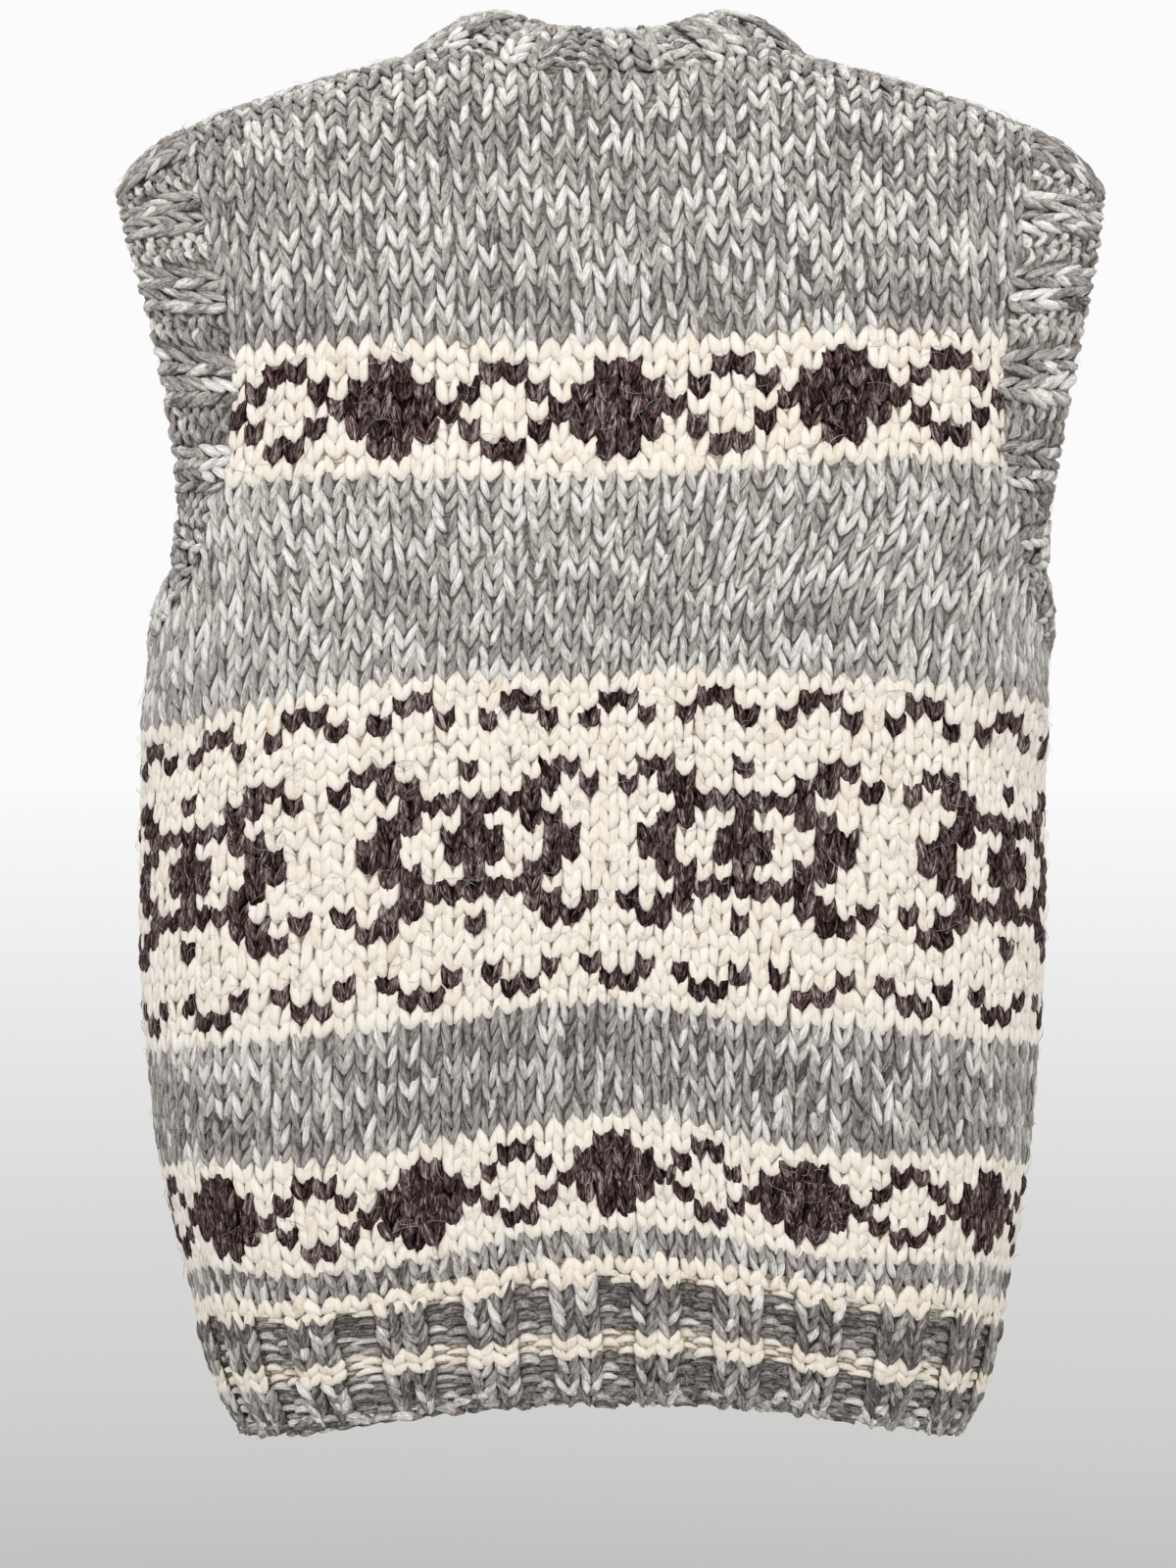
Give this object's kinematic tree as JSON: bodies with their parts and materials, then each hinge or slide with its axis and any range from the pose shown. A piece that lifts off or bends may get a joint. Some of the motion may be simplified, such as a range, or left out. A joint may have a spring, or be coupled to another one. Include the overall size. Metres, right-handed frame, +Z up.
{
  "type": "cowichan vest",
  "caption": "Sleeveless bulky-knit pullover vest with a V neck, ribbed hem, neck and armhole bands, filled out hollow as worn and held at the shoulders.",
  "frame": {"origin": "the middle of the shoulder line on which the wearer carries the vest, over the side seams", "axes": "+Z up, -Y the way the wearer faces, +X to the wearer's left"},
  "size_m": [0.4542, 0.2099, 0.651],
  "materials": {
    "grey_marl": "bulky hand-knit wool, light and dark grey plied together",
    "cream_wool": "undyed cream wool, soft and slightly hairy",
    "dark_wool": "undyed dark brown wool, heathered and hairy"
  },
  "bodies": {
    "root": {"back": "grey_marl", "front": "grey_marl", "hem_rib_back": "grey_marl", "hem_rib_front": "grey_marl", "armhole_band_left": "grey_marl", "armhole_band_right": "grey_marl", "neck_band": "grey_marl"}
  },
  "joints": []
}
